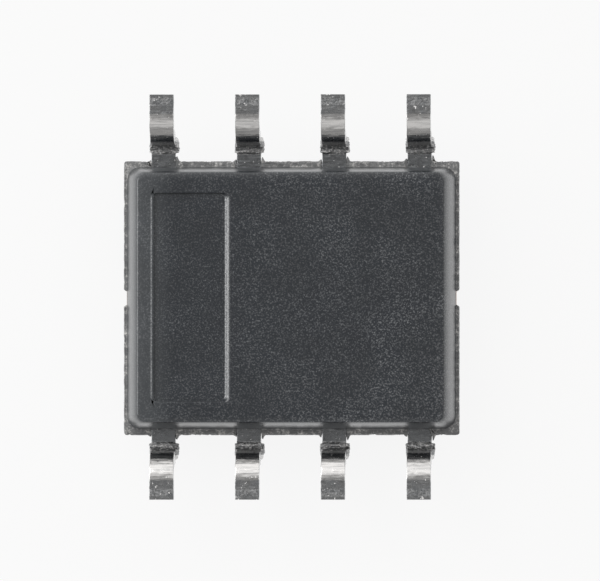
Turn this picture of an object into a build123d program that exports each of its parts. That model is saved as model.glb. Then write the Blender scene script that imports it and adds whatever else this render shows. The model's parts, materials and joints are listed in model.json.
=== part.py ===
from build123d import *
import os
from math import cos, radians, tan

# An operational amplifier in a narrow small-outline plastic package with eight gull-wing leads,
# lying on its back with its feet up. Millimetres.
# +Z points out of the package's underside, +X runs along the lead rows away from the end with
# the recess, and the origin is the centre of the package's top face, which it lies on.

# Lead rows
lead_pitch = 1.27
leads_per_row = 4
end_margin = 0.54  # outer lead's centre to the end of the body

# Moulded body: two drafted halves with the leadframe between them
body_width = 3.89  # across the lead rows, where the halves meet the rim
upper_depth = 0.65  # package top face to leadframe
lower_depth = 0.60  # leadframe to underside
end_draft = 0.17  # how far an end leans in over one half
side_draft = 0.10  # how far a lead side leans in over one half
corner_radius = 0.18  # upright corners, at the rim
face_corner_radius = 0.16  # upright corners, at the faces
face_edge_radius = 0.08
rim_end = 0.05  # resin rim, proud of each end
rim_side = 0.09  # resin rim, proud of each lead side
rim_corner_radius = 0.03
recess_length = 1.10  # moulded recess in the underside, along X
recess_margin = 0.41  # recess to the body's end and lead sides
recess_depth = 0.05
recess_corner_radius = 0.06

# Leads
lead_thickness = 0.20
lead_width = 0.355
neck_bend_radius = 0.12  # inside of the bend by the body
heel_bend_radius = 0.20  # inside of the bend above the foot
shank_lean = 4.0  # degrees outward from upright
shank_reach = 0.415  # body side to the shank's middle, at leadframe height
foot_reach = 1.055  # body side to the foot's tip
standoff = 0.15  # underside to the plane of the feet
dambar_offset = 0.215  # body side to the sheared dambar stubs
dambar_length = 0.16
dambar_stub_minus = 0.027  # stub beyond the lead's edge, -X side
dambar_stub_plus = 0.045  # stub beyond the lead's edge, +X side

# Leadframe inside the body
paddle_length = 2.40
paddle_width = 2.10
tie_bar_width = 0.21
notch_depth = 0.045  # rim notch at each cut tie bar
notch_slant = 0.02  # how much wider the notch is at its mouth, each side
finger_gap = 0.15  # paddle to the fingers' ends
finger_width = 0.62  # landing end of an inner finger
finger_length = 0.45
corner_finger_gap = 0.35  # centre line to the end of a corner finger
corner_finger_length = 1.20
corner_finger_overhang = 0.10  # corner finger beyond its lead's outer edge

# Die and bond wires, on the package-top side of the paddle
die_length = 1.30
die_width = 1.10
die_thickness = 0.28
film_thickness = 0.025
film_margin = 0.02
bond_pad_pitch = 0.32
bond_pad_inset = 0.10
wire_diameter = 0.025
wire_bend_radius = 0.05
ball_diameter = 0.07
ball_height = 0.015
loop_height = 0.15  # die face to the top of the loop
knee_drop = 0.05  # how far the loop falls before its knee
knee_share = 0.65  # where the knee lies between the two bonds
stitch_inset = 0.13  # finger's edge to the stitch bond
stitch_length = 0.08
stitch_width = 0.05

# Worked out from the above
body_length = lead_pitch * (leads_per_row - 1) + 2 * end_margin
half_length = body_length / 2
half_width = body_width / 2
frame_low = upper_depth
frame_high = upper_depth + lead_thickness
body_height = frame_high + lower_depth
seat_height = body_height + standoff
neck_outer_radius = neck_bend_radius + lead_thickness
heel_outer_radius = heel_bend_radius + lead_thickness
corner_finger_edge = paddle_length / 2 + finger_gap
die_face = frame_low - film_thickness - die_thickness


def block(x0, x1, y0, y1, z0, z1):
    """A box between two corners."""
    size = (x1 - x0, y1 - y0, z1 - z0)
    middle = ((x0 + x1) / 2, (y0 + y1) / 2, (z0 + z1) / 2)
    return Pos(*middle) * Box(*size)


def body_half(face_height, direction):
    """One drafted half, from the leadframe's middle plane side out to its face."""
    depth = abs(face_height - (frame_high if direction > 0 else frame_low))
    rim_plane = face_height - direction * depth
    base = Pos(0, 0, rim_plane) * RectangleRounded(body_length, body_width, corner_radius)
    face_size = (body_length - 2 * end_draft, body_width - 2 * side_draft)
    face = Pos(0, 0, face_height) * RectangleRounded(*face_size, face_corner_radius)
    half = loft([base, face])
    face_edges = half.faces().sort_by(Axis.Z)[-1 if direction > 0 else 0].edges()
    return fillet(face_edges, face_edge_radius)


def rim():
    """The resin rim at the parting plane, with a notch at each cut tie bar."""
    outline = RectangleRounded(body_length + 2 * rim_end, body_width + 2 * rim_side, rim_corner_radius)
    slab = Pos(0, 0, frame_low) * extrude(outline, lead_thickness)
    mouth = half_length + rim_end
    floor = mouth - notch_depth
    inner = tie_bar_width / 2
    outer = inner + notch_slant
    corners = [(floor, -inner), (mouth, -outer), (mouth, outer), (floor, inner)]
    notch = Pos(0, 0, frame_low) * extrude(make_face(Polyline(*corners, close=True)), lead_thickness)
    return slab - notch - mirror(notch, Plane.YZ)


def recess():
    """The shallow recess in the underside, near the -X end."""
    start = -half_length + recess_margin
    outline = RectangleRounded(recess_length, body_width - 2 * recess_margin, recess_corner_radius)
    floor = Pos(start + recess_length / 2, 0, body_height - recess_depth) * outline
    return extrude(floor, recess_depth * 2)


def lead_profile(inner_end):
    """Side view of a lead in the YZ plane, from its finger's end to the foot's tip."""
    neck = (frame_low, frame_high)
    foot = (seat_height - lead_thickness, seat_height)
    shank = half_width + shank_reach
    neck_middle = sum(neck) / 2
    half_run = lead_thickness / 2 / cos(radians(shank_lean))
    slope = tan(radians(shank_lean))
    tip = half_width + foot_reach

    def side(level, face, radii):
        """One long face of the lead: level picks its two heights, face is its side of the shank."""
        turns = [shank + (z - neck_middle) * slope + face * half_run for z in (neck[level], foot[level])]
        points = [(0, inner_end, neck[level]), (0, turns[0], neck[level]),
                  (0, turns[1], foot[level]), (0, tip, foot[level])]
        return FilletPolyline(*points, radius=radii)

    near = side(1, -1, [neck_bend_radius, heel_outer_radius])
    far = side(0, 1, [neck_outer_radius, heel_bend_radius])
    ends = [Line(near @ 0, far @ 0), Line(near @ 1, far @ 1)]
    return make_face([near, far, *ends])


def finger_box(column, x):
    """Plan limits x0, x1, y0, y1 of a lead's landing finger inside the body."""
    if 0 < column < leads_per_row - 1:
        start = paddle_width / 2 + finger_gap
        return x - finger_width / 2, x + finger_width / 2, start, start + finger_length
    outer = abs(x) + lead_width / 2 + corner_finger_overhang
    limits = sorted([corner_finger_edge, outer] if x > 0 else [-corner_finger_edge, -outer])
    return *limits, corner_finger_gap, corner_finger_gap + corner_finger_length


def lead(column, row):
    """A lead, its finger and its dambar stubs; row is +1 or -1, the side it stands on."""
    x = lead_x(column)
    finger = finger_box(column, x)
    sheet = extrude(lead_profile(finger[2]), body_length, both=True, dir=(1, 0, 0))
    tip = half_width + foot_reach
    edge = lead_width / 2
    shear = half_width + dambar_offset
    plan = block(x - edge, x + edge, finger[2], tip, 0, seat_height)
    plan += block(*finger, 0, seat_height)
    plan += block(x - edge - dambar_stub_minus, x + edge + dambar_stub_plus,
                  shear, shear + dambar_length, 0, seat_height)
    solid = sheet & plan
    return solid if row > 0 else mirror(solid, Plane.XZ)


def lead_x(column):
    """X of a lead's centre line; column 0 is at the recessed end."""
    return (column - (leads_per_row - 1) / 2) * lead_pitch


def paddle():
    """The die paddle with its two tie bars, which end in the rim's notches."""
    plate = block(-paddle_length / 2, paddle_length / 2, -paddle_width / 2, paddle_width / 2,
                  frame_low, frame_high)
    reach = half_length + rim_end - notch_depth
    return plate + block(-reach, reach, -tie_bar_width / 2, tie_bar_width / 2, frame_low, frame_high)


def die_stack():
    """The attach film under the die, and the die, on the paddle's package-top side."""
    film_x = die_length / 2 + film_margin
    film_y = die_width / 2 + film_margin
    film = block(-film_x, film_x, -film_y, film_y, frame_low - film_thickness, frame_low)
    die = block(-die_length / 2, die_length / 2, -die_width / 2, die_width / 2,
                die_face, frame_low - film_thickness)
    return film, die


def stitch_point(column, row):
    """Where a wire lands on its lead's finger."""
    x = lead_x(column)
    x0, x1, y0, y1 = finger_box(column, x)
    if 0 < column < leads_per_row - 1:
        return Vector(x, row * (y0 + stitch_inset), frame_low)
    side = 1 if x > 0 else -1
    return Vector(side * (corner_finger_edge + stitch_inset), row * (y0 + y1) / 2, frame_low)


def bond_wire(column, row):
    """A wire from its ball bond on the die to its stitch bond on the finger."""
    pad_x = (column - (leads_per_row - 1) / 2) * bond_pad_pitch
    ball = Vector(pad_x, row * (die_width / 2 - bond_pad_inset), die_face)
    land = stitch_point(column, row)
    level = Vector(land.X - ball.X, land.Y - ball.Y, 0)
    start = ball - Vector(0, 0, ball_height / 2)
    crest = ball - Vector(0, 0, loop_height)
    knee = crest + level * knee_share + Vector(0, 0, knee_drop)
    end = land - Vector(0, 0, wire_diameter / 2)
    path = FilletPolyline(start, crest, knee, end, radius=wire_bend_radius)
    wire = sweep(Plane(start, z_dir=(0, 0, -1)) * Circle(wire_diameter / 2), path=path)
    ball_bond = Pos(ball.X, ball.Y, die_face - ball_height / 2) * Cylinder(ball_diameter / 2, ball_height)
    stitch = Pos(land.X, land.Y, frame_low - wire_diameter / 2) * Box(
        stitch_length, stitch_width, wire_diameter)
    return wire + ball_bond + stitch


def build_parts():
    """Every piece by node name. Leads are numbered round the package from the recessed end."""
    places = [(column, 1) for column in range(leads_per_row)]
    places += [(column, -1) for column in reversed(range(leads_per_row))]
    parts = {}
    for number, (column, row) in enumerate(places, start=1):
        parts[f"lead_{number}"] = lead(column, row)
        parts[f"bond_wire_{number}"] = bond_wire(column, row)
    parts["die_paddle"] = paddle()
    parts["die_attach_film"], parts["silicon_die"] = die_stack()
    resin = body_half(body_height, 1) + body_half(0, -1) + rim() - recess()
    for insert in list(parts.values()):
        resin -= insert
    parts["moulded_body"] = resin
    return parts


os.makedirs("parts", exist_ok=True)
for name, piece in build_parts().items():
    export_step(piece, f"parts/{name}.step")
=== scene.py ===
import json
import logging
from collections.abc import Callable
from dataclasses import dataclass
from enum import Enum
from math import cos, radians, sin, tan

import bmesh
import bpy
from mathutils import Matrix, Vector, noise


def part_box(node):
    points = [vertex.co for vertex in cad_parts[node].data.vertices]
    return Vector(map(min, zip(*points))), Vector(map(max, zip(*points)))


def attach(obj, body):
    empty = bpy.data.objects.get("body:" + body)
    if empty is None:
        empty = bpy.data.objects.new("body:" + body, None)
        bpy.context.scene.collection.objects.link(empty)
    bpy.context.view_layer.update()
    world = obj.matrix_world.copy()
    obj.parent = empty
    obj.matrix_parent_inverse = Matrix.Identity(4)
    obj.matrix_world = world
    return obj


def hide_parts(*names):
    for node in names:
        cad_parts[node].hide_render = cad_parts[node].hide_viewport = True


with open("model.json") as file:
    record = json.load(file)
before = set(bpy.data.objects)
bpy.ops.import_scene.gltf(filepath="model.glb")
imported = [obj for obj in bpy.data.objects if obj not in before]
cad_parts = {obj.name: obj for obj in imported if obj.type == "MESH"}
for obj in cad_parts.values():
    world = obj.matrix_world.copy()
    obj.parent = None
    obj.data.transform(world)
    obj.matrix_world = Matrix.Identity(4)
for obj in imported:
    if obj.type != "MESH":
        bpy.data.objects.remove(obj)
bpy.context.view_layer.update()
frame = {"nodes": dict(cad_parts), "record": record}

# An operational amplifier in a narrow small-outline package, lying on its back with its feet up.
# Meshes are modelled in millimetres and turned to metres as they are written.
MM = 0.001
BODY = "root"
WHITE = (1.0, 1.0, 1.0, 1.0)
log = logging.getLogger("chip")

Socket = bpy.types.NodeSocket
Place = Callable[[int], Vector]  # gives the place of the point at one step of a ring
HighlightPaint = Callable[[Vector], float]  # gives how strongly a place is painted with a highlight, from 0 to 1
Stretch = tuple[float, float, float, float]  # where something starts and ends its rise, then its fall

# Numbers of the inputs of a Map Range node, and of a Mix node's numbers and colours
VALUE, START, END, LOW, HIGH = range(5)
SHARE, FIRST, SECOND, FIRST_COLOUR, SECOND_COLOUR = 0, 2, 3, 6, 7
SMOOTH = {"interpolation_type": "SMOOTHSTEP"}
COLOURS = {"data_type": "RGBA", "output": 2}


class Row(Enum):
    """The two rows of leads, by the side of the package that they stand on."""

    PLUS_Y = 1
    MINUS_Y = -1


# ---------------------------------------------------------------- helpers


def linear(hex_colour: str) -> tuple[float, float, float, float]:
    """Turns an sRGB colour into the linear one that a shader takes.

    Args:
        hex_colour: six hex digits, red first.

    Returns:
        Linear red, green and blue, and an alpha of 1.
    """
    parts = [int(hex_colour[i:i + 2], 16) / 255 for i in (0, 2, 4)]
    return *(p / 12.92 if p <= 0.04045 else ((p + 0.055) / 1.055) ** 2.4 for p in parts), 1.0


def add_node(tree: bpy.types.NodeTree, kind: str, inputs: dict[str | int, object] | None = None,
             output: str | int = 0, **settings: object) -> Socket | None:
    """Adds a shader node.

    Args:
        tree: the node tree that gets it.
        kind: its type's name, after ShaderNode.
        inputs: values or output sockets, by the name or number of the input that takes them.
        output: the name or number of the output that is wanted.
        settings: the node's own properties.

    Returns:
        That output, or None from a node that has none.
    """
    node = tree.nodes.new("ShaderNode" + kind)
    for name, value in settings.items():
        setattr(node, name, value)
    for name, value in (inputs or {}).items():
        if isinstance(value, bpy.types.NodeSocket):
            tree.links.new(value, node.inputs[name])
        else:
            node.inputs[name].default_value = value
    return node.outputs[output] if len(node.outputs) else None


def blank_material(name: str) -> tuple[bpy.types.Material, bpy.types.NodeTree]:
    """Makes a material with no nodes in it.

    Args:
        name: its name.

    Returns:
        The material and its node tree.
    """
    material = bpy.data.materials.new(name)
    material.use_nodes = True
    material.node_tree.nodes.clear()
    return material, material.node_tree


def per_mm(size: float) -> float:
    """Scale of a texture whose features are this many millimetres across."""
    return 1 / (size * MM)


def uneven(place: Vector, grain: float, octaves: int = 3) -> float:
    """Repeatable unevenness.

    Args:
        place: where it is read, in millimetres.
        grain: size of its largest features, in millimetres.
        octaves: how many finer layers it has.

    Returns:
        A number mostly between -1 and 1.
    """
    return noise.fractal(place / grain, 0.8, 2.1, octaves)


def ramp(value: float, start: float, end: float) -> float:
    """Rises smoothly from 0 at start to 1 at end, which may lie either side of start."""
    share = min(max((value - start) / (end - start), 0.0), 1.0)
    return share * share * (3 - 2 * share)


def hump(value: float, stretch: Stretch) -> float:
    """Rises smoothly from 0 to 1 and falls again, along a stretch."""
    return ramp(value, stretch[0], stretch[1]) * ramp(value, stretch[3], stretch[2])


# ---------------------------------------------------------------- rings of points


@dataclass(frozen=True)
class Outline:
    """A rounded rectangle that is walked anticlockwise in a fixed number of steps.

    Every outline of one piece has the same steps, so a ring extruded from one outline can be
    moved onto the next, point by point.
    """

    x_low: float
    x_high: float
    y_low: float
    y_high: float
    radius: float
    steps_x: int
    steps_y: int
    steps_corner: int

    @property
    def steps(self) -> int:
        """Points in the whole ring."""
        return 2 * (self.steps_x + self.steps_y) + 4 * self.steps_corner

    def corner(self, turn: int, share: float) -> Vector:
        """A point part of the way round one corner.

        Args:
            turn: the corner, counted from the one at +X and -Y.
            share: how far round it, from 0 to 1.

        Returns:
            The point, at height zero.
        """
        middle_x = (self.x_high - self.radius) if turn % 4 in (0, 1) else (self.x_low + self.radius)
        middle_y = (self.y_high - self.radius) if turn % 4 in (1, 2) else (self.y_low + self.radius)
        angle = radians(90 * (turn - 1 + share))
        return Vector((middle_x + self.radius * cos(angle), middle_y + self.radius * sin(angle), 0))

    def point(self, step: int) -> Vector:
        """The point at one step of the walk.

        Args:
            step: the step, counted from the start of the side towards -Y, past the end too.

        Returns:
            The point, at height zero.
        """
        step %= self.steps
        for turn in range(4):
            side_steps = self.steps_y if turn % 2 else self.steps_x
            if step < side_steps:
                return self.corner(turn - 1, 1).lerp(self.corner(turn, 0), step / side_steps)
            step -= side_steps
            if step < self.steps_corner:
                return self.corner(turn, step / self.steps_corner)
            step -= self.steps_corner
        return self.corner(0, 0)

    def outward(self, step: int) -> Vector:
        """Unit vector square to the outline at one step."""
        along = self.point(step + 1) - self.point(step - 1)
        return Vector((along.y, -along.x, 0)).normalized()


class RingSkin:
    """A closed skin grown from a ring of points, one extruded ring at a time."""

    def __init__(self, steps: int) -> None:
        """Starts with a plain circle.

        Args:
            steps: how many points it has.
        """
        self.mesh = bmesh.new()
        self.step_of = self.mesh.verts.layers.int.new("step")
        # each point's share of painted highlight, which the resin's material reads
        self.highlight_of = self.mesh.verts.layers.float.new("painted_highlight")
        circle = bmesh.ops.create_circle(self.mesh, segments=steps, radius=1.0, cap_ends=False)
        for step, vert in enumerate(circle["verts"]):
            vert[self.step_of] = step
        self.ring = list(self.mesh.edges)
        self.started = False

    def grow(self, place: Place, material: int = 0, painted_highlight: HighlightPaint | None = None) -> None:
        """Extrudes the ring and moves each new point.

        Args:
            place: where each step's point goes, in millimetres.
            material: slot of the faces that the extrusion makes.
            painted_highlight: how strongly each place is painted with a highlight, or None where none is
                painted.
        """
        verts = {v for e in self.ring for v in e.verts}
        if self.started:
            grown = bmesh.ops.extrude_edge_only(self.mesh, edges=self.ring)["geom"]
            verts = {g for g in grown if isinstance(g, bmesh.types.BMVert)}
            self.ring = [e for g in verts for e in g.link_edges if e.other_vert(g) in verts]
            self.ring = list(dict.fromkeys(self.ring))
            for face in (g for g in grown if isinstance(g, bmesh.types.BMFace)):
                face.material_index = material
        self.started = True
        for vert in verts:
            vert.co = place(vert[self.step_of])
            vert[self.highlight_of] = painted_highlight(vert.co) if painted_highlight else 0.0

    def cap(self) -> None:
        """Closes the skin with one face across its last ring."""
        verts = {v for e in self.ring for v in e.verts}
        self.mesh.faces.new(self.in_order(verts))

    def cap_start(self) -> None:
        """Closes the skin's other end, which is the lower one, with one face."""
        verts = {v for e in self.mesh.edges if e.is_boundary for v in e.verts}
        lowest = min(v.co.z for v in verts) + 1e-6
        self.mesh.faces.new(self.in_order({v for v in verts if v.co.z < lowest}))

    def in_order(self, verts: set[bmesh.types.BMVert]) -> list[bmesh.types.BMVert]:
        """A ring's points in the order of their steps."""
        return sorted(verts, key=lambda v: v[self.step_of])


def write_piece(bm: bmesh.types.BMesh, name: str, materials: list[bpy.types.Material],
                sharp: float) -> bpy.types.Object:
    """Turns a mesh in millimetres into an object in metres that rides on the chip.

    Args:
        bm: the closed mesh, which is freed.
        name: the piece's name.
        materials: its material slots.
        sharp: edges that turn by more than this many degrees stay sharp.

    Returns:
        The new object, at the origin.
    """
    bmesh.ops.recalc_face_normals(bm, faces=bm.faces)
    bmesh.ops.scale(bm, vec=(MM, MM, MM), verts=bm.verts)
    mesh = bpy.data.meshes.new(name)
    bm.to_mesh(mesh)
    bm.free()
    mesh.shade_smooth()
    mesh.set_sharp_from_angle(angle=radians(sharp))
    for material in materials:
        mesh.materials.append(material)
    piece = bpy.data.objects.new(name, mesh)
    bpy.context.scene.collection.objects.link(piece)
    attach(piece, BODY)
    log.info("%s: %d faces", name, len(mesh.polygons))
    return piece


# ---------------------------------------------------------------- finishes


@dataclass(frozen=True)
class MouldedEpoxy:
    """Black epoxy moulding compound, matt from a spark-eroded mould.

    Ground silica in the resin shows as fine grey grains with painted glints on them, which grow stronger
    towards one end, and a skin of clear resin over them shines at a low angle. The recessed end is painted
    lighter, and the recess's walls carry a pale painted highlight.
    """

    name: str = "black_epoxy_moulded"
    colour: str = "0a131c"
    lit_end_colour: str = "33373b"  # painted light: the recessed end is painted lighter, where the lamp at -X lights it
    # pale of the grains, of their painted glints and of the painted highlight on the recess's walls
    pale: str = "adafb1"
    grain: float = 0.026  # silica grains, drawn about twice their real width so that they show
    quiet: float = 0.56  # how strongly the grains and their painted glints show at the recessed end
    loud: float = 0.92  # and at the other end
    ior: float = 1.65  # matched to the shine of the drafted walls
    skin: float = 0.45
    skin_roughness: float = 0.25
    tooth: float = 0.03  # the mould's spark-eroded pits
    relief: float = 0.0012
    roughness: float = 0.30
    cloud: float = 0.8  # slow changes of shade across the face
    quiet_to_loud: tuple[float, float] = (-1.6, 2.4)  # X over which the painted glints on the grains grow stronger
    lit_end_fades: tuple[float, float] = (-2.1, -1.7)  # X over which the painted light of the recessed end fades

    def build(self) -> bpy.types.Material:
        """Makes the material.

        Returns:
            The material, which reads the piece's own attribute of painted highlight.
        """
        material, tree = blank_material(self.name)
        place = add_node(tree, "TexCoord", output="Object")
        along = add_node(tree, "SeparateXYZ", {0: place}, output="X")
        silica = add_node(tree, "TexNoise", {
            "Vector": place, "Scale": per_mm(self.grain), "Detail": 2.0, "Roughness": 0.8})
        cloud = add_node(tree, "TexNoise", {
            "Vector": place, "Scale": per_mm(self.cloud), "Detail": 3.0, "Roughness": 0.55})
        tooth = add_node(tree, "TexNoise", {"Vector": place, "Scale": per_mm(self.tooth), "Detail": 2.0})
        # Painted glints: the grains are painted stronger towards +X, where the light grazes the face
        low, high = self.quiet_to_loud
        strength = add_node(tree, "MapRange", {
            VALUE: along, START: low * MM, END: high * MM, LOW: self.quiet, HIGH: self.loud}, **SMOOTH)
        patchy = add_node(tree, "MapRange", {
            VALUE: cloud, START: 0.35, END: 0.65, LOW: 0.7, HIGH: 1.3}, **SMOOTH)
        grains = add_node(tree, "MapRange", {VALUE: silica, START: 0.50, END: 0.84, LOW: 0.0, HIGH: 0.62})
        glint = add_node(tree, "Math", {0: grains, 1: strength}, operation="MULTIPLY")
        glint = add_node(tree, "Math", {0: glint, 1: patchy}, operation="MULTIPLY")
        # Painted highlight: pale where the light catches the recess's walls, broken up by the grains
        painted_highlight = add_node(tree, "Attribute", output="Fac", attribute_name="painted_highlight")
        highlight_breakup = add_node(tree, "MapRange", {
            VALUE: silica, START: 0.28, END: 0.70, LOW: 0.15, HIGH: 0.75}, **SMOOTH)
        glint = add_node(tree, "Math", {0: painted_highlight, 1: highlight_breakup, 2: glint},
                         operation="MULTIPLY_ADD", use_clamp=True)
        # Painted light: the recessed end is painted lighter, as the lamp at -X lights it
        low, high = self.lit_end_fades
        lit_end_share = add_node(tree, "MapRange", {
            VALUE: along, START: low * MM, END: high * MM, LOW: 1.0, HIGH: 0.0}, **SMOOTH)
        ground = add_node(tree, "Mix", {
            SHARE: lit_end_share, FIRST_COLOUR: linear(self.colour), SECOND_COLOUR: linear(self.lit_end_colour)}, **COLOURS)
        shade = add_node(tree, "MapRange", {
            VALUE: cloud, START: 0.3, END: 0.7, LOW: 0.88, HIGH: 1.12}, **SMOOTH)
        tint = add_node(tree, "HueSaturation", {"Color": ground, "Value": shade})
        colour = add_node(tree, "Mix", {
            SHARE: glint, FIRST_COLOUR: tint, SECOND_COLOUR: linear(self.pale)}, **COLOURS)
        relief = add_node(tree, "Bump", {"Height": tooth, "Strength": 1.0, "Distance": self.relief * MM})
        shader = add_node(tree, "BsdfPrincipled", {
            "Base Color": colour, "Roughness": self.roughness, "IOR": self.ior, "Normal": relief,
            "Coat Weight": self.skin, "Coat Roughness": self.skin_roughness})
        add_node(tree, "OutputMaterial", {"Surface": shader})
        return material


@dataclass(frozen=True)
class TinPlate:
    """Matt tin plated on copper alloy, then bent.

    The outside of the heel is drawn smooth and streaked across, the inside of the neck's bend is
    crushed matt and pale, and the neck and the foot are mottled by handling. The flat neck and foot are also
    painted darker than the tin's own colour, as painted shade.
    """

    name: str = "matt_tin_plate"
    colour: str = "dad9d8"
    stain: str = "7e8082"
    bare: str = "e6e5e4"
    foot_shade: str = "a0a1a2"  # the foot's colour, painted darker than the tin's own as shade
    neck_shade: str = "828486"  # the neck's colour, painted darker still as shade
    patch: float = 0.10
    streak: float = 0.022  # forming streaks, drawn several times their real width so that they show
    streak_stretch: float = 20.0  # how many times longer than wide they are
    grain: float = 0.028
    speck: float = 0.045  # bare bright scratches and burrs
    relief: float = 0.0020
    drawn: float = 0.17  # roughness on the heel
    handled: float = 0.22  # roughness elsewhere
    crushed: float = 0.62  # roughness inside the neck's bend and of the bare specks
    bend: tuple[float, float] = (2.14, 2.31)  # reach of the crushed stretch
    outer: tuple[float, float] = (2.2, 2.4)  # reach over which the neck's colour turns to the foot's
    heel: tuple[float, float] = (2.33, 2.71)
    rubbed: tuple[float, float] = (2.84, 2.955)  # reach of the paler stretch near the tip

    @staticmethod
    def zone(tree: bpy.types.NodeTree, reach: Socket, stretch: tuple[float, float], soft: float) -> Socket:
        """A mask that is 1 along one stretch of the lead and 0 elsewhere.

        Args:
            tree: the node tree that gets it.
            reach: the distance from the package's middle plane, in metres.
            stretch: where it starts and ends, in millimetres.
            soft: width of its soft ends, in millimetres.

        Returns:
            The mask.
        """
        (rise_start, rise_end), (fall_start, fall_end) = (
            ((middle - soft / 2) * MM, (middle + soft / 2) * MM) for middle in stretch)
        rise = add_node(tree, "MapRange", {
            VALUE: reach, START: rise_start, END: rise_end, LOW: 0.0, HIGH: 1.0}, **SMOOTH)
        fall = add_node(tree, "MapRange", {
            VALUE: reach, START: fall_start, END: fall_end, LOW: 1.0, HIGH: 0.0}, **SMOOTH)
        return add_node(tree, "Math", {0: rise, 1: fall}, operation="MULTIPLY")

    def build(self) -> bpy.types.Material:
        """Makes the material.

        Returns:
            The material, which takes its zones from the distance to the package's middle plane.
        """
        material, tree = blank_material(self.name)
        place = add_node(tree, "TexCoord", output="Object")
        side = add_node(tree, "SeparateXYZ", {0: place}, output="Y")
        reach = add_node(tree, "Math", {0: side}, operation="ABSOLUTE")
        heel = self.zone(tree, reach, self.heel, 0.03)
        bend = self.zone(tree, reach, self.bend, 0.03)
        rubbed = self.zone(tree, reach, self.rubbed, 0.04)
        stretched = add_node(tree, "Mapping", {
            "Vector": place, "Scale": (1 / self.streak_stretch, 1.0, 1.0)})
        streaks = add_node(tree, "TexNoise", {
            "Vector": stretched, "Scale": per_mm(self.streak), "Detail": 2.0})
        patch = add_node(tree, "TexNoise", {
            "Vector": place, "Scale": per_mm(self.patch), "Detail": 4.0, "Roughness": 0.65})
        grain = add_node(tree, "TexNoise", {
            "Vector": place, "Scale": per_mm(self.grain), "Detail": 3.0, "Roughness": 0.65})
        specks = add_node(tree, "TexNoise", {"Vector": place, "Scale": per_mm(self.speck), "Detail": 1.0})
        bright = add_node(tree, "MapRange", {
            VALUE: specks, START: 0.70, END: 0.76, LOW: 0.0, HIGH: 1.0}, **SMOOTH)
        colour = self.colour_of(tree, (heel, bend, bright), reach, (streaks, patch, grain))
        rough = self.roughness_of(tree, (heel, bend, bright, rubbed), (streaks, patch, grain))
        height = add_node(tree, "Mix", {SHARE: heel, FIRST: grain, SECOND: streaks})
        relief = add_node(tree, "Bump", {"Height": height, "Strength": 1.0, "Distance": self.relief * MM})
        shader = add_node(tree, "BsdfPrincipled", {
            "Base Color": colour, "Metallic": 1.0, "Roughness": rough, "Normal": relief})
        add_node(tree, "OutputMaterial", {"Surface": shader})
        return material

    def colour_of(self, tree: bpy.types.NodeTree, zones: tuple[Socket, Socket, Socket], reach: Socket,
                  textures: tuple[Socket, Socket, Socket]) -> Socket:
        """Blends the colours of the neck, bend, heel and foot, with painted shade on the flat neck and foot.

        Args:
            tree: the node tree that gets the nodes.
            zones: the masks of the heel, the bend and the bare specks.
            reach: the distance from the package's middle plane, in metres.
            textures: the streaks, the patches and the grain.

        Returns:
            The colour.
        """
        heel, bend, bright = zones
        streaks, patch, grain = textures
        stained = add_node(tree, "MapRange", {
            VALUE: patch, START: 0.44, END: 0.62, LOW: 0.0, HIGH: 0.9}, **SMOOTH)
        lines = add_node(tree, "MapRange", {
            VALUE: streaks, START: 0.40, END: 0.75, LOW: 0.0, HIGH: 0.45}, **SMOOTH)
        pits = add_node(tree, "MapRange", {
            VALUE: grain, START: 0.50, END: 0.62, LOW: 0.8, HIGH: 0.0}, **SMOOTH)
        dirt = add_node(tree, "Mix", {SHARE: heel, FIRST: stained, SECOND: lines})
        dirt = add_node(tree, "Mix", {SHARE: bend, FIRST: dirt, SECOND: pits})
        # Painted shade: the flat neck and foot are painted darker than the tin's own colour, which the heel
        # and the bend keep
        unshaded_bends = add_node(tree, "Math", {0: heel, 1: bend}, operation="MAXIMUM")
        neck_end, foot_start = self.outer
        outer = add_node(tree, "MapRange", {
            VALUE: reach, START: neck_end * MM, END: foot_start * MM, LOW: 0.0, HIGH: 1.0}, **SMOOTH)
        metal = add_node(tree, "Mix", {
            SHARE: outer, FIRST_COLOUR: linear(self.neck_shade), SECOND_COLOUR: linear(self.foot_shade)}, **COLOURS)
        metal = add_node(tree, "Mix", {
            SHARE: unshaded_bends, FIRST_COLOUR: metal, SECOND_COLOUR: linear(self.colour)}, **COLOURS)
        metal = add_node(tree, "Mix", {
            SHARE: dirt, FIRST_COLOUR: metal, SECOND_COLOUR: linear(self.stain)}, **COLOURS)
        return add_node(tree, "Mix", {
            SHARE: bright, FIRST_COLOUR: metal, SECOND_COLOUR: linear(self.bare)}, **COLOURS)

    def roughness_of(self, tree: bpy.types.NodeTree, zones: tuple[Socket, Socket, Socket, Socket],
                     textures: tuple[Socket, Socket, Socket]) -> Socket:
        """Blends the roughness of the neck, bend, heel, foot and tip.

        Args:
            tree: the node tree that gets the nodes.
            zones: the masks of the heel, the bend, the bare specks and the rubbed tip.
            textures: the streaks, the patches and the grain.

        Returns:
            The roughness.
        """
        heel, bend, bright, rubbed = zones
        streaks, patch, grain = textures
        rough = add_node(tree, "MapRange", {
            VALUE: patch, START: 0.35, END: 0.68, LOW: self.handled - 0.06, HIGH: self.handled + 0.16})
        at_tip = add_node(tree, "MapRange", {
            VALUE: grain, START: 0.42, END: 0.66, LOW: 0.25, HIGH: 0.6}, **SMOOTH)
        at_heel = add_node(tree, "MapRange", {
            VALUE: streaks, START: 0.4, END: 0.7, LOW: self.drawn, HIGH: self.drawn + 0.10}, **SMOOTH)
        in_bend = add_node(tree, "MapRange", {
            VALUE: grain, START: 0.4, END: 0.6, LOW: 0.3, HIGH: self.crushed}, **SMOOTH)
        for mask, there in ((rubbed, at_tip), (heel, at_heel), (bend, in_bend), (bright, self.crushed)):
            rough = add_node(tree, "Mix", {SHARE: mask, FIRST: rough, SECOND: there})
        return rough


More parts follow.
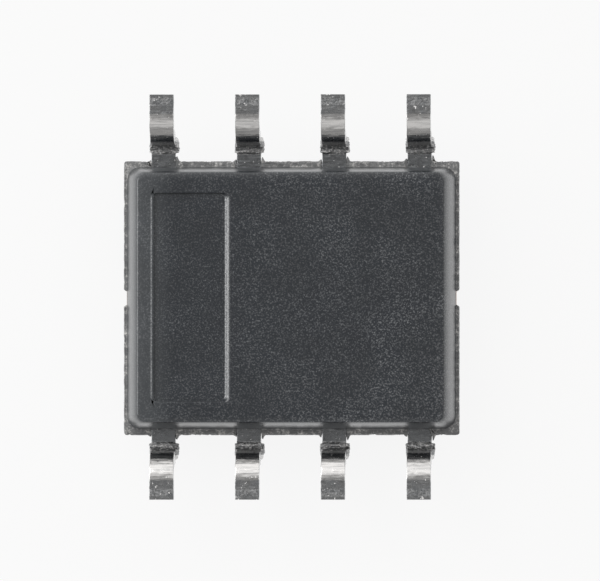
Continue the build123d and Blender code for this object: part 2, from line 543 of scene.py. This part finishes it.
@dataclass(frozen=True)
class InnerFinish:
    """A finish of a piece sealed in the resin: one colour with a fine mottle and its own gloss."""

    name: str
    colour: str
    metallic: float
    roughness: float
    grain: float  # size of the mottle, in millimetres

    def build(self) -> bpy.types.Material:
        """Makes the material.

        Returns:
            The material.
        """
        material, tree = blank_material(self.name)
        place = add_node(tree, "TexCoord", output="Object")
        mottle = add_node(tree, "TexNoise", {"Vector": place, "Scale": per_mm(self.grain), "Detail": 2.0})
        shade = add_node(tree, "MapRange", {VALUE: mottle, START: 0.3, END: 0.7, LOW: 0.85, HIGH: 1.1})
        tint = add_node(tree, "HueSaturation", {"Color": linear(self.colour), "Value": shade})
        shader = add_node(tree, "BsdfPrincipled", {
            "Base Color": tint, "Metallic": self.metallic, "Roughness": self.roughness})
        add_node(tree, "OutputMaterial", {"Surface": shader})
        return material


# ---------------------------------------------------------------- the moulded package


@dataclass
class Package:
    """The moulded body: two drafted halves, the broken resin rim between them and the recess."""

    lead_places: list[tuple[float, Row]]
    frame_low: float
    frame_high: float
    height: float
    rim_length: float
    rim_width: float
    tie_bar_reach: float
    rim_end: float = 0.05  # how far the rim stands out at each end
    rim_side: float = 0.09  # and on each lead side
    end_draft: float = 0.19
    side_draft: float = 0.100
    wall_bow: float = 1.67  # 1 is a straight wall, and more turns over sooner towards the face
    corner_radius: float = 0.19
    face_corner_cut: float = 0.06  # how much smaller a corner's radius is at the face
    wall_rings: int = 16
    root: float = 0.02  # height of the rough fillet between the rim and the underside's wall
    crown: float = 0.010  # how much lower a face is at its edge than within it
    crown_rings: int = 4
    crown_step: float = 0.3  # width of one of its rings, in drafts
    flash: tuple[float, float] = (0.03, 0.075)  # how far resin bled along each lead's -X and +X side
    flash_width: tuple[float, float] = (0.065, 0.02)  # gap from the lead where it ends and is full
    flash_rise: tuple[float, float] = (0.03, 0.07)  # how far out of the wall it starts and is full
    socket: float = 0.012  # how far into the wall the rim is cut back at a lead
    socket_side: float = 0.014  # width of the cut's slope beside the lead
    lead_width: float = 0.355
    tie_bar_width: float = 0.21
    tie_bar_bare: float = 0.006  # length of its end that stands out of the rim
    recess_length: float = 1.10
    recess_margin: float = 0.41
    recess_depth: float = 0.05
    recess_corner: float = 0.08
    recess_wall: float = 0.014  # width of its steep walls in plan
    recess_slope: float = 0.058  # width of its gentle wall, towards +X
    lip_height: float = 0.006  # flash that stands along its steep end wall
    lip_width: float = 0.03
    chip_size: float = 0.027  # how deep the shear broke the rim on the lead sides
    end_chip_size: float = 0.007
    chip_grains: tuple[float, float] = (0.13, 0.035)  # size of the large breaks and of the small
    chip_middle: float = 0.25  # unevenness at which the rim keeps its plain outline
    chip_limit: float = 0.35  # unevenness past which it stands out no further
    rim_wave: float = 0.012  # how far its edge wanders up and down
    name: str = "package_body"
    steps: tuple[int, int, int] = (300, 244, 10)  # steps of a ring along X, along Y and round a corner

    @property
    def body_side(self) -> float:
        """Distance from the middle plane to the wall where a lead leaves it."""
        return self.rim_width / 2 - self.rim_side

    @property
    def body_end(self) -> float:
        """Distance from the middle to the end wall at the rim."""
        return self.rim_length / 2 - self.rim_end

    @property
    def recess_start(self) -> float:
        """X of the foot of the recess's steep end wall."""
        return self.recess_margin - self.body_end

    @property
    def recess_half_width(self) -> float:
        """Half the recess floor's width."""
        return self.body_side - self.recess_margin

    def outline(self, inset_x: float, inset_y: float, radius: float) -> Outline:
        """A rounded rectangle inside the body's widest outline.

        Args:
            inset_x: how far each end is drawn in from the body's end at the rim.
            inset_y: how far each lead side is drawn in.
            radius: its corners' radius.

        Returns:
            The outline.
        """
        half_x = self.body_end - inset_x
        half_y = self.body_side - inset_y
        return Outline(-half_x, half_x, -half_y, half_y, radius, *self.steps)

    def wall_place(self, share: float, height: float, radius: float) -> Place:
        """Places of a ring on a drafted wall.

        Args:
            share: how far along the draft, 0 at the rim and 1 at the face.
            height: the ring's height.
            radius: its corners' radius.

        Returns:
            A function from step to place.
        """
        outline = self.outline(share * self.end_draft, share * self.side_draft, radius)
        return lambda step: outline.point(step) + Vector((0, 0, height))

    def grow_half(self, skin: RingSkin, upward: bool) -> None:
        """Grows one drafted half between the rim and its face.

        Args:
            skin: the skin that is grown.
            upward: True for the underside's half, from the rim up, and False for the package
                top's half, from its face up to the rim.
        """
        rim, face = (self.frame_high, self.height) if upward else (self.frame_low, 0.0)
        dip = self.crown if upward else -self.crown
        rings = []
        for ring in range(self.wall_rings + 1):
            left = (1 - ring / self.wall_rings) ** 1.5
            rings.append((1 - left, rim + (face - dip - rim) * (1 - left ** self.wall_bow)))
        if upward:
            rings[0] = (0.01, rim + self.root + 0.01)
        for ring in range(1, self.crown_rings + 1):
            rings.append((1 + self.crown_step * ring, face - dip * (1 - ring / self.crown_rings) ** 2))
        for share, height in rings if upward else reversed(rings):
            radius = self.corner_radius - self.face_corner_cut * min(share, 1.0)
            skin.grow(self.wall_place(share, height, radius))

    def rim_place(self, out: float, height: float, rough: float) -> Place:
        """Places of a ring on the resin rim.

        Args:
            out: how far out it is, 0 at the body and 1 at the rim's edge.
            height: the ring's height.
            rough: how much of the breakage shows in it.

        Returns:
            A function from step to place.
        """
        radius = self.corner_radius * (1 - 0.8 * out)
        outline = self.outline(-self.rim_end * out, -self.rim_side * out, radius)
        large, small = self.chip_grains

        def place(step: int) -> Vector:
            """Gives one point of the ring.

            Args:
                step: the point's step.

            Returns:
                Where it lies.
            """
            point = outline.point(step) + Vector((0, 0, height))
            on_side = abs(point.y) > self.body_side - 0.002 and abs(point.x) < self.body_end
            size = self.chip_size if on_side else self.end_chip_size
            broken = uneven(point, large, 4) + 0.5 * uneven(point + Vector((7, 3, 1)), small, 2)
            point += outline.outward(step) * size * rough * (min(broken, self.chip_limit) - self.chip_middle)
            point.z += self.rim_wave * rough * out * uneven(point + Vector((2, 9, 4)), 0.06, 3)
            return self.cut_back(point)

        return place

    def cut_back(self, point: Vector) -> Vector:
        """Draws the rim back where a lead or a tie bar leaves it.

        Args:
            point: a place on the rim, which is changed.

        Returns:
            The same point.
        """
        bled_start, bled_end = (self.body_side + out for out in self.flash_rise)
        for lead_x, row in self.lead_places:
            if point.y * row.value > 0:
                gap = abs(point.x - lead_x) - self.lead_width / 2
                limit = self.body_side - self.socket
                limit += (self.rim_side + 0.2) * ramp(gap, 0.0, self.socket_side)
                bled = self.flash[1] if point.x > lead_x else self.flash[0]
                bled *= ramp(gap, *self.flash_width) * ramp(abs(point.y), bled_start, bled_end)
                bled *= 1 + 0.45 * uneven(point, 0.07, 2)
                point.y = row.value * min(abs(point.y) + bled, limit)
        gap = abs(point.y) - self.tie_bar_width / 2
        limit = self.tie_bar_reach - self.tie_bar_bare + 0.1 * ramp(gap, -0.004, 0.03)
        point.x = min(max(point.x, -limit), limit)
        return point

    def grow_rim(self, skin: RingSkin) -> None:
        """Grows the rim from the package top's half out to its broken edge and back.

        Args:
            skin: the skin that is grown.
        """
        low, high = self.frame_low, self.frame_high
        # How far out each ring is, its height, and how broken it is
        rings = [(0.5, low, 0.3), (0.85, low + 0.004, 0.8), (1.0, low + 0.02, 1.0), (1.0, low + 0.06, 1.0),
                 (1.0, low + 0.1, 1.1), (1.0, low + 0.14, 1.0), (1.0, high - 0.02, 1.0),
                 (0.86, high - 0.003, 0.9), (0.6, high, 0.7), (0.3, high - 0.004, 0.35),
                 (0.12, high + 0.008, 0.1)]
        for out, height, rough in rings:
            skin.grow(self.rim_place(out, height, rough), material=1)
        skin.grow(self.wall_place(0.0, high + self.root, self.corner_radius), material=1)

    def recess_place(self, wall: float, depth: float, radius: float) -> Place:
        """Places of a ring on the recess's wall.

        Args:
            wall: how far across its sloping wall, 0 at the face and 1 at the floor.
            depth: how far down, in millimetres.
            radius: its corners' radius.

        Returns:
            A function from step to place.
        """
        start, half_y = self.recess_start, self.recess_half_width
        steep = self.recess_wall * (1 - wall)
        gentle = self.recess_slope * (0.5 - wall)
        outline = Outline(start - steep, start + self.recess_length + gentle,
                          -half_y - steep, half_y + steep, radius, *self.steps)

        def place(step: int) -> Vector:
            """Gives one point of the ring.

            Args:
                step: the point's step.

            Returns:
                Where it lies.
            """
            point = outline.point(step)
            lip = self.lip_height * ramp(point.x, start + self.lip_width, start)
            lip *= ramp(wall, -1.1, -0.2) * ramp(wall, 0.5, -0.2)
            lip *= ramp(abs(point.y), half_y - 0.01, half_y - 0.09)
            torn = 0.7 + 0.6 * uneven(point, 0.09, 3)
            return point + Vector((0, 0, self.height - depth + lip * torn))

        return place

    def recess_highlight(self, wall: float) -> HighlightPaint:
        """Painted highlight of a ring on the recess's wall: its gentle wall and its steep end wall are
        painted pale, as they catch the light.

        Args:
            wall: how far across its sloping wall, 0 at the face and 1 at the floor.

        Returns:
            A function from place to painted highlight.
        """
        start, half_y = self.recess_start, self.recess_half_width

        def painted_highlight(point: Vector) -> float:
            """Gives the painted highlight of one place.

            Args:
                point: the place.

            Returns:
                How strongly it is painted with a highlight, from 0 to 1.
            """
            end = ramp(abs(point.y), half_y - 0.01, half_y - 0.07)
            gentle = 0.95 * ramp(point.x, start + 0.9, start + 1.0) * ramp(wall, -0.1, 1.0)
            steep = 0.85 * ramp(point.x, start + 0.1, start + 0.05) * ramp(wall, -1.0, -0.4)
            return end * (gentle + steep)

        return painted_highlight

    def grow_recess(self, skin: RingSkin) -> None:
        """Crosses the underside's face to the recess, and goes down its wall to its floor.

        Args:
            skin: the skin that is grown.
        """
        skin.grow(self.recess_place(-2.2, 0.0, self.recess_corner + 0.03))
        for ring in range(-5, 11):
            wall = ring / 10
            depth = self.recess_depth * ((wall + 0.5) / 1.5) ** 2
            skin.grow(self.recess_place(wall, depth, self.recess_corner), painted_highlight=self.recess_highlight(wall))
        skin.grow(self.recess_place(1.25, self.recess_depth, self.recess_corner - 0.004))

    def build(self, resin: bpy.types.Material, broken: bpy.types.Material) -> bpy.types.Object:
        """Makes the body as one closed skin.

        Args:
            resin: finish of the moulded faces.
            broken: finish of the rim.

        Returns:
            The body, which stands for the CAD one.
        """
        skin = RingSkin(self.outline(0, 0, self.corner_radius).steps)
        self.grow_half(skin, upward=False)
        skin.cap_start()
        self.grow_rim(skin)
        self.grow_half(skin, upward=True)
        self.grow_recess(skin)
        skin.cap()
        piece = write_piece(skin.mesh, self.name, [resin, broken], sharp=50)
        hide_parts("moulded_body")
        return piece


# ---------------------------------------------------------------- the leads


@dataclass(frozen=True)
class LeadPath:
    """Centre line of a gull-wing lead: straight neck, bend, leaning shank, bend and flat foot."""

    start: float
    tip: float
    neck_height: float
    foot_height: float
    shank_reach: float
    lean: float = 4.0
    neck_radius: float = 0.22
    heel_radius: float = 0.30

    def runs(self) -> list[tuple[float, float]]:
        """The runs of the line, one after another.

        Returns:
            Pairs of a length and the radius that it turns by: plus turns up, and 0 is straight.
        """
        turn = radians(90 - self.lean)
        neck_tangent, heel_tangent = (r * tan(turn / 2) for r in (self.neck_radius, self.heel_radius))
        rise = self.foot_height - self.neck_height
        shank = rise / cos(radians(self.lean)) - neck_tangent - heel_tangent
        foot_start = self.shank_reach + rise * tan(radians(self.lean)) + heel_tangent
        return [(self.shank_reach - neck_tangent - self.start, 0.0),
                (self.neck_radius * turn, self.neck_radius),
                (shank, 0.0),
                (self.heel_radius * turn, -self.heel_radius),
                (self.tip - foot_start, 0.0)]

    @property
    def length(self) -> float:
        """Length of the whole line."""
        return sum(run for run, _ in self.runs())

    def at(self, along: float) -> tuple[float, float, float]:
        """Where the line is, this far along it.

        Args:
            along: distance from its start.

        Returns:
            Reach from the package's middle plane, height, and heading in radians above level.
        """
        reach, height, heading = self.start, self.neck_height, 0.0
        for run, radius in self.runs():
            part = min(along, run)
            if radius:
                new = heading + part / radius
                reach += radius * (sin(new) - sin(heading))
                height += radius * (cos(heading) - cos(new))
                heading = new
            else:
                reach += part * cos(heading)
                height += part * sin(heading)
            along -= part
            if along <= 0:
                break
        return reach, height, heading


@dataclass
class Lead:
    """A stamped, plated and bent lead with its dambar stubs, and its finger inside the resin."""

    number: int
    x: float
    row: Row
    path: LeadPath
    width: float = 0.355
    thickness: float = 0.20
    edge_radius: float = 0.007
    section_steps: tuple[int, int, int] = (18, 8, 4)  # across, through and round a corner
    ring_step: float = 0.013
    dambar: Stretch = (2.157, 2.169, 2.316, 2.328)  # reach of the sheared stubs
    stub_minus: float = 0.027
    stub_plus: float = 0.045
    edge_wave: float = 0.004
    wrinkle: float = 0.0022
    pit: float = 0.0025
    crease: Stretch = (2.135, 2.165, 2.17, 2.20)  # reach of the ridge pushed up at the bend's start
    crease_height: float = 0.017
    crushed: Stretch = (2.16, 2.19, 2.30, 2.34)  # reach of the wrinkles inside the bend
    crushed_height: float = 0.006
    inner_finger: float = 0.45  # length of a middle lead's landing finger
    corner_finger: float = 1.20  # and of a corner lead's, which is over twice as wide as the lead

    @property
    def node(self) -> str:
        """The CAD node that the lead stands for."""
        return f"lead_{self.number}"

    def section(self) -> Outline:
        """The strip's section, with its width along X and its thickness along Y."""
        return Outline(-self.width / 2, self.width / 2, -self.thickness / 2, self.thickness / 2,
                       self.edge_radius, *self.section_steps)

    def shaped(self, flat: Vector, along: float, reach: float) -> Vector:
        """Gives a point of the plain strip the marks of shearing, bending and plating.

        Args:
            flat: the point in the section: across the lead, and out of its seating side.
            along: distance along the lead.
            reach: distance from the package's middle plane.

        Returns:
            The point, moved.
        """
        across, out = flat.x, flat.y
        seed = Vector((self.number * 5.3, self.row.value * 2.7, along))
        here = Vector((across, out, 0)) + seed
        side = abs(across) / (self.width / 2)
        sign = 1 if across > 0 else -1
        stub = self.stub_plus if sign > 0 else self.stub_minus
        torn = 1 + 0.45 * uneven(here, 0.05, 3) - 0.3 * ramp(out, 0.02, -self.thickness / 2)
        across += sign * stub * hump(reach, self.dambar) * torn * ramp(side, 0.72, 1.0)
        across += sign * self.edge_wave * uneven(here, 0.09, 3) * ramp(side, 0.5, 1.0)
        wrinkled = self.wrinkle * uneven(Vector((across * 0.35, 0, along)) + seed * 3.1, 0.05, 3)
        pitted = self.pit * uneven(here + Vector((0, 0, 4.4)), 0.07, 4)
        out += (wrinkled + pitted) * (1 if out > 0 else 0.5)
        creased = self.crease_height * hump(reach, self.crease) * (0.9 + 1.3 * uneven(here, 0.03, 2))
        out += creased * ramp(out, 0.0, 0.08)
        crushed = uneven(Vector((across * 0.5, 0, along)) + seed * 1.7, 0.035, 3)
        out += self.crushed_height * hump(reach, self.crushed) * crushed * ramp(out, 0.0, 0.08)
        return Vector((across, out, 0))

    def place(self, along: float, section: Outline) -> Place:
        """Places of one ring of the strip.

        Args:
            along: distance along the lead.
            section: the strip's section.

        Returns:
            A function from step to place.
        """
        reach, height, heading = self.path.at(along)

        def point(step: int) -> Vector:
            """Gives one point of the ring.

            Args:
                step: the point's step.

            Returns:
                Where it lies.
            """
            local = self.shaped(section.point(step), along, reach)
            return Vector((self.x + local.x,
                           self.row.value * (reach - local.y * sin(heading)),
                           height + local.y * cos(heading)))

        return point

    def add_finger(self, bm: bmesh.types.BMesh) -> None:
        """Adds the landing finger inside the resin, as wide and long as the CAD lead's.

        Args:
            bm: the lead's mesh, which gets it.
        """
        low, high = (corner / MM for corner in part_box(self.node))
        inner = min(abs(low.y), abs(high.y))
        at_corner = high.x - low.x > self.width * 2
        end = inner + (self.corner_finger if at_corner else self.inner_finger)
        half = self.width / 2
        # X and reach limits of the wide landing, then of the strip from it to the neck
        strip = [(low.x, high.x, inner, end), (self.x - half, self.x + half, end, self.path.start)]
        for x_low, x_high, near, far in strip:
            size = Vector((x_high - x_low, far - near, self.thickness))
            middle = Vector(((x_low + x_high) / 2, self.row.value * (near + far) / 2, self.path.neck_height))
            bmesh.ops.create_cube(bm, size=1.0, matrix=Matrix.LocRotScale(middle, None, size))

    def build(self, plate: bpy.types.Material) -> bpy.types.Object:
        """Makes the lead.

        Args:
            plate: its finish.

        Returns:
            The lead, which stands for the CAD one.
        """
        section = self.section()
        skin = RingSkin(section.steps)
        rings = int(self.path.length / self.ring_step)
        for ring in range(rings + 1):
            skin.grow(self.place(self.path.length * ring / rings, section))
            if ring == 0:
                skin.cap()
        skin.cap()
        self.add_finger(skin.mesh)
        piece = write_piece(skin.mesh, f"{self.node}_plated", [plate], sharp=55)
        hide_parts(self.node)
        return piece


# ---------------------------------------------------------------- light, floor and camera


@dataclass(frozen=True)
class Panel:
    """A soft panel of light on one side of the chip, between two heights on a unit sphere."""

    facing: int  # the side in Y that it stands on
    strength: float
    heights: Stretch


@dataclass
class Studio:
    """A pale floor, even light round the sides with a dark lens overhead, and the camera."""

    view_centre: tuple[float, float] = (0.126, 0.112)  # millimetres from the chip's middle
    view_width: float = 8.92  # millimetres seen across the frame at the leadframe
    distance: float = 170.0
    lean_x: float = 1.8  # degrees that the camera stands off upright, towards +X
    lean_y: float = 1.3  # and towards -Y
    sensor: float = 36.0
    floor_size: float = 400.0
    floor_gap: float = 0.005  # how far the floor lies below the chip, so that the two never coincide
    floor_shade: float = 0.07  # how much of the floor's look follows the light, and so holds shadow
    floor_glow: float = 0.885
    floor_reflected: float = 0.95
    floor_bounce: float = 0.40
    background: float = 0.96
    side_level: float = 0.35
    lens_level: float = 0.2
    lens_edge: tuple[float, float] = (0.985, 0.999)  # heights on a unit sphere between which it starts
    panels: tuple[Panel, Panel] = (Panel(1, 0.90, (0.15, 0.38, 0.85, 1.03)),
                                   Panel(-1, 0.40, (0.45, 0.70, 0.90, 1.02)))
    panel_side: tuple[float, float] = (0.03, 0.18)  # how far out in Y a panel starts and is full

    def floor(self) -> None:
        """A white floor that stays white, keeps a faint shadow, and is seen through from below."""
        bm = bmesh.new()
        bmesh.ops.create_grid(bm, x_segments=1, y_segments=1, size=self.floor_size * MM)
        mesh = bpy.data.meshes.new("floor")
        bm.to_mesh(mesh)
        bm.free()
        plane = bpy.data.objects.new("floor", mesh)
        plane.location.z = -self.floor_gap * MM
        bpy.context.scene.collection.objects.link(plane)
        material, tree = blank_material("white_paper_sweep")
        paper = add_node(tree, "BsdfDiffuse", {"Color": (*(self.floor_shade,) * 3, 1.0)})
        lift = add_node(tree, "Emission", {"Color": WHITE, "Strength": self.floor_glow})
        both = add_node(tree, "AddShader", {0: paper, 1: lift})
        white = add_node(tree, "Emission", {"Color": WHITE, "Strength": self.floor_reflected})
        bounce = add_node(tree, "Emission", {"Color": WHITE, "Strength": self.floor_bounce})
        is_glossy = add_node(tree, "LightPath", output="Is Glossy Ray")
        is_camera = add_node(tree, "LightPath", output="Is Camera Ray")
        gloss = add_node(tree, "MixShader", {0: is_glossy, 1: bounce, 2: white})
        under = add_node(tree, "NewGeometry", output="Backfacing")
        sheet = add_node(tree, "MixShader", {0: under, 1: both, 2: add_node(tree, "BsdfTransparent")})
        seen = add_node(tree, "MixShader", {0: is_camera, 1: gloss, 2: sheet})
        add_node(tree, "OutputMaterial", {"Surface": seen})
        mesh.materials.append(material)

    def world(self) -> None:
        """Two soft panels facing the rows of leads, dimmer sides, and a dark lens overhead."""
        world = bpy.data.worlds.new("light_tent")
        bpy.context.scene.world = world
        world.use_nodes = True
        tree = world.node_tree
        tree.nodes.clear()
        direction = add_node(tree, "TexCoord", output="Generated")
        height = add_node(tree, "SeparateXYZ", {0: direction}, output="Z")
        side = add_node(tree, "SeparateXYZ", {0: direction}, output="Y")
        lens_start, lens_end = self.lens_edge
        level = add_node(tree, "MapRange", {
            VALUE: height, START: lens_start, END: lens_end, LOW: self.side_level,
            HIGH: self.lens_level}, **SMOOTH)
        for panel in self.panels:
            low_start, low_end, high_start, high_end = panel.heights
            bottom = add_node(tree, "MapRange", {
                VALUE: height, START: low_start, END: low_end, LOW: 0.0, HIGH: 1.0}, **SMOOTH)
            top = add_node(tree, "MapRange", {
                VALUE: height, START: high_start, END: high_end, LOW: 1.0, HIGH: 0.0}, **SMOOTH)
            band = add_node(tree, "Math", {0: bottom, 1: top}, operation="MULTIPLY")
            towards = add_node(tree, "Math", {0: side, 1: float(panel.facing)}, operation="MULTIPLY")
            lit = add_node(tree, "MapRange", {
                VALUE: towards, START: self.panel_side[0], END: self.panel_side[1], LOW: 0.0,
                HIGH: panel.strength}, **SMOOTH)
            level = add_node(tree, "Math", {0: band, 1: lit, 2: level}, operation="MULTIPLY_ADD")
        tent = add_node(tree, "Background", {"Color": (1.0, 0.99, 0.98, 1.0), "Strength": level})
        plain = add_node(tree, "Background", {"Color": WHITE, "Strength": self.background})
        is_camera = add_node(tree, "LightPath", output="Is Camera Ray")
        seen = add_node(tree, "MixShader", {0: is_camera, 1: tent, 2: plain})
        add_node(tree, "OutputWorld", {"Surface": seen})

    def lamp(self, name: str, place: tuple[float, float, float], size: tuple[float, float],
             watts: float) -> None:
        """An area lamp that points at the chip.

        Args:
            name: what it is called.
            place: where it stands, in millimetres.
            size: its width and height, in millimetres.
            watts: its power.
        """
        data = bpy.data.lights.new(name, "AREA")
        data.shape = "RECTANGLE"
        data.size, data.size_y = (s * MM for s in size)
        data.energy = watts
        lamp = bpy.data.objects.new(name, data)
        lamp.location = Vector(place) * MM
        lamp.rotation_euler = (-lamp.location).to_track_quat("-Z", "Y").to_euler()
        bpy.context.scene.collection.objects.link(lamp)

    def camera(self, height: float) -> None:
        """A long lens almost straight above.

        Args:
            height: the height that it aims at, in millimetres.
        """
        data = bpy.data.cameras.new("camera")
        data.sensor_width = self.sensor
        data.lens = self.sensor * self.distance / self.view_width
        data.clip_start = 0.005
        data.clip_end = 10.0
        camera = bpy.data.objects.new("camera", data)
        aim = Vector((*self.view_centre, height))
        off = Vector((tan(radians(self.lean_x)), -tan(radians(self.lean_y)), 1.0)).normalized()
        right = Vector((0, 1, 0)).cross(off).normalized()
        turn = Matrix((right, off.cross(right), off)).transposed()
        camera.location = (aim + off * self.distance) * MM
        camera.rotation_euler = turn.to_euler()
        bpy.context.scene.collection.objects.link(camera)
        bpy.context.scene.camera = camera

    def build(self, height: float) -> None:
        """Sets up the floor, light and camera.

        Args:
            height: the height that the camera aims at, in millimetres.
        """
        self.floor()
        self.world()
        self.lamp("left_strip", (-55.0, 8.0, 26.0), (24.0, 34.0), 0.012)
        self.lamp("key", (-50.0, 60.0, 80.0), (50.0, 50.0), 0.02)
        self.camera(height)
        bpy.context.scene.view_settings.view_transform = "Standard"


# ---------------------------------------------------------------- the whole chip


@dataclass
class Chip:
    """The chip: its package, its leads and what is sealed inside."""

    record: dict
    shank_out: float = 0.415  # from the package's wall to the middle of the shank's start
    neck_inside: float = 0.1  # how far inside the wall a lead's bent strip starts

    def lead_places(self) -> list[tuple[float, Row]]:
        """Finds the leads from the mounts on their feet.

        Returns:
            X and row of each lead, in the order of their numbers.
        """
        feet = [m for m in self.record["mounts"] if m["name"].startswith("foot_")]
        feet.sort(key=lambda m: int(m["name"].split("_")[1]))
        return [(m["pos_m"][0] / MM, Row.PLUS_Y if m["pos_m"][1] > 0 else Row.MINUS_Y) for m in feet]

    def build(self) -> None:
        """Makes every piece and dresses the ones sealed inside."""
        places = self.lead_places()
        body_low, body_high = (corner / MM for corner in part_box("moulded_body"))
        frame_low, frame_high = (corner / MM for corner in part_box("die_paddle"))
        lead_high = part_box("lead_1")[1] / MM
        package = Package(places, frame_low.z, frame_high.z, body_high.z, body_high.x - body_low.x,
                          body_high.y - body_low.y, frame_high.x)
        resin = MouldedEpoxy().build()
        # The rim broke through the silica, so it is paler, rougher and coarser, with no clear skin
        broken = MouldedEpoxy(name="black_epoxy_broken", colour="6c6d6e", lit_end_colour="6c6d6e", pale="e4e2de",
                              grain=0.055, quiet=1.3, loud=1.3, skin=0.0, relief=0.008, roughness=0.5,
                              cloud=0.22).build()
        package.build(resin, broken)
        plate = TinPlate().build()
        half = (frame_high.z - frame_low.z) / 2
        path = LeadPath(start=package.body_side - self.neck_inside, tip=lead_high.y,
                        neck_height=frame_low.z + half, foot_height=lead_high.z - half,
                        shank_reach=package.body_side + self.shank_out)
        for number, (x, row) in enumerate(places, start=1):
            Lead(number, x, row, path).build(plate)
        self.dress_inside()

    def dress_inside(self) -> None:
        """Gives the sealed pieces their finishes."""
        # Rolled copper alloy, pale brown and satin
        copper = InnerFinish("copper_alloy_strip", "b8957c", 1.0, 0.35, 0.05).build()
        # Silver flakes in epoxy, matt pale grey
        paste = InnerFinish("silver_filled_paste", "b9b8b2", 0.3, 0.6, 0.02).build()
        # Sawn silicon, dark blue-grey and glossy
        wafer = InnerFinish("sawn_silicon", "5a5e68", 0.2, 0.2, 0.08).build()
        # Drawn gold, bright yellow
        gold = InnerFinish("drawn_gold_wire", "f2c66d", 1.0, 0.22, 0.02).build()
        finishes = {"die_paddle": copper, "die_attach_film": paste, "silicon_die": wafer}
        finishes |= {name: gold for name in frame["nodes"] if name.startswith("bond_wire")}
        for name, finish in finishes.items():
            node = frame["nodes"][name]
            for slot in node.material_slots:
                slot.link = "OBJECT"
                slot.material = finish
            log.info("%s: %s", name, finish.name)


def main() -> None:
    """Builds the chip and its studio."""
    logging.basicConfig(level=logging.INFO)
    Chip(frame["record"]).build()
    Studio().build(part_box("die_paddle")[1].z / MM)


if __name__ == "__main__":
    main()
